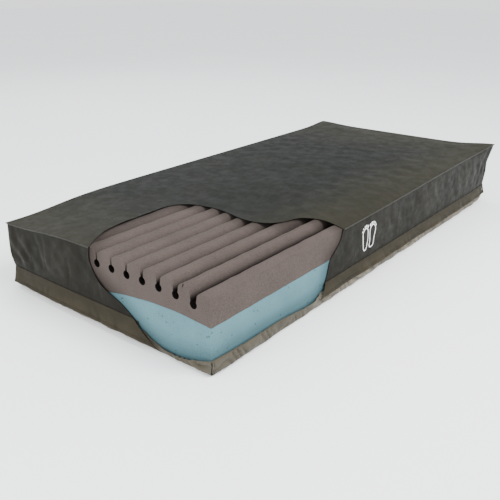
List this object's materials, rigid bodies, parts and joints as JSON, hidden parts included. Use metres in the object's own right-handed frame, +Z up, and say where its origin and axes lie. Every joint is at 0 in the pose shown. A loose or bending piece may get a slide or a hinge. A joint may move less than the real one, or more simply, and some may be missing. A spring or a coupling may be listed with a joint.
{
  "type": "pressure relief mattress",
  "caption": "Foam pressure relief mattress with a ridged topper on a base foam, in a zipped cover with storm flaps and a display window cut at one corner.",
  "frame": {"origin": "centre of the underside, on the surface that the mattress lies on", "axes": "+X from the foot end to the head end, +Y from the near side, which has the window, to the far side, +Z up"},
  "size_m": [1.9342, 0.9182, 0.25],
  "materials": {
    "base_foam": "matte",
    "topper_foam": "matte",
    "cover_stretch": "satin",
    "cover_side": "satin",
    "welt": "satin",
    "flap_cloth": "satin",
    "base_cloth": "matte",
    "zip_tape": "matte",
    "zip_teeth": "satin",
    "zip_metal": "satin",
    "mark_print": "matte"
  },
  "bodies": {
    "mattress": {"base_foam": "base_foam", "ridged_topper": "topper_foam", "top_panel": "cover_stretch", "near_side_panel": "cover_side", "far_side_panel": "cover_side", "foot_end_panel": "cover_side", "head_end_panel": "cover_side", "top_edge_welt": "welt", "bottom_panel": "base_cloth", "near_lower_wall": "base_cloth", "far_lower_wall": "base_cloth", "foot_lower_wall": "base_cloth", "head_lower_wall": "base_cloth", "zip_tape_lower": "zip_tape", "zip_tape_upper": "zip_tape", "zip_teeth_lower": "zip_teeth", "zip_teeth_upper": "zip_teeth", "zip_end_stops": "zip_metal", "foot_end_mark": "mark_print"},
    "near_flap": {"near_flap": "flap_cloth"},
    "far_flap": {"far_flap": "flap_cloth"},
    "foot_flap": {"foot_flap": "flap_cloth"},
    "head_flap": {"head_flap": "flap_cloth"},
    "zip_slider": {"zip_slider": "zip_metal"},
    "zip_pull_tab": {"zip_pull_tab": "zip_metal"}
  },
  "joints": [
    {"name": "near_flap_lift", "type": "hinge", "parent": "mattress", "child": "near_flap", "pos_m": [0, -0.4455, 0.075], "axis": [-1, 0, 0], "range_deg": [0, 150]},
    {"name": "far_flap_lift", "type": "hinge", "parent": "mattress", "child": "far_flap", "pos_m": [0, 0.4455, 0.075], "axis": [1, 0, 0], "range_deg": [0, 150]},
    {"name": "foot_flap_lift", "type": "hinge", "parent": "mattress", "child": "foot_flap", "pos_m": [-0.9535, 0, 0.075], "axis": [0, 1, 0], "range_deg": [0, 150]},
    {"name": "head_flap_lift", "type": "hinge", "parent": "mattress", "child": "head_flap", "pos_m": [0.9535, 0, 0.075], "axis": [0, -1, 0], "range_deg": [0, 150]},
    {"name": "zip_slide", "type": "slide", "parent": "mattress", "child": "zip_slider", "axis": [1, 0, 0], "range_m": [-1.3, 0]},
    {"name": "pull_tab_swing", "type": "hinge", "parent": "zip_slider", "child": "zip_pull_tab", "pos_m": [0.9265, -0.447, 0.057], "axis": [0, -1, 0], "range_deg": [-80, 80]}
  ]
}
